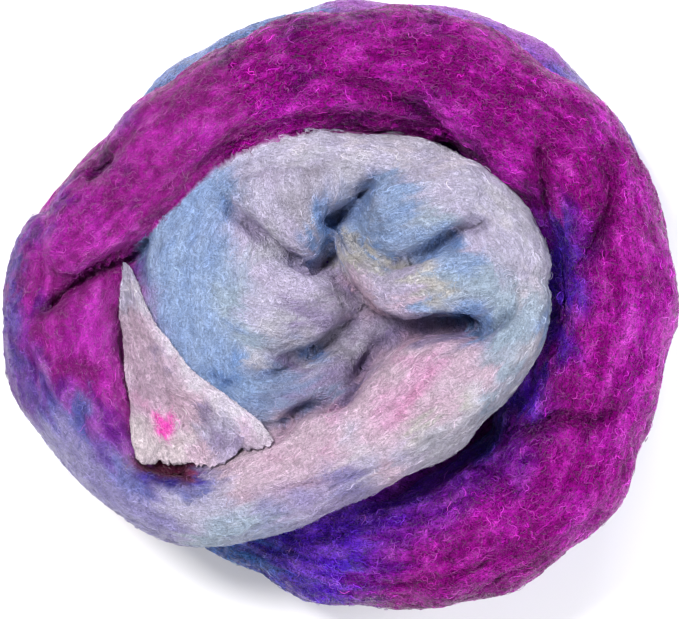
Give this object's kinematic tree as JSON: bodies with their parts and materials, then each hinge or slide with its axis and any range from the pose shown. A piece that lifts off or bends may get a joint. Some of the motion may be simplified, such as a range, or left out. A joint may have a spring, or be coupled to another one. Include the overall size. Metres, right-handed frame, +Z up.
{
  "type": "mulberry silk fiber",
  "caption": "Hand-dyed mulberry silk sliver wound on itself into a loose flattened bun, with a folded pale middle and a torn inner end laid over it",
  "frame": {"origin": "under the middle of the bounding box, on the plane the bun rests on", "axes": "+Z is up, +X is along the longest extent and to the right in the picture, +Y is towards the top of the picture"},
  "size_m": [0.1516, 0.1388, 0.058],
  "materials": {
    "dyed_silk": "satin",
    "pale_silk": "satin"
  },
  "bodies": {
    "root": {"silk_roll": "dyed_silk", "loose_end": "pale_silk"}
  },
  "joints": []
}
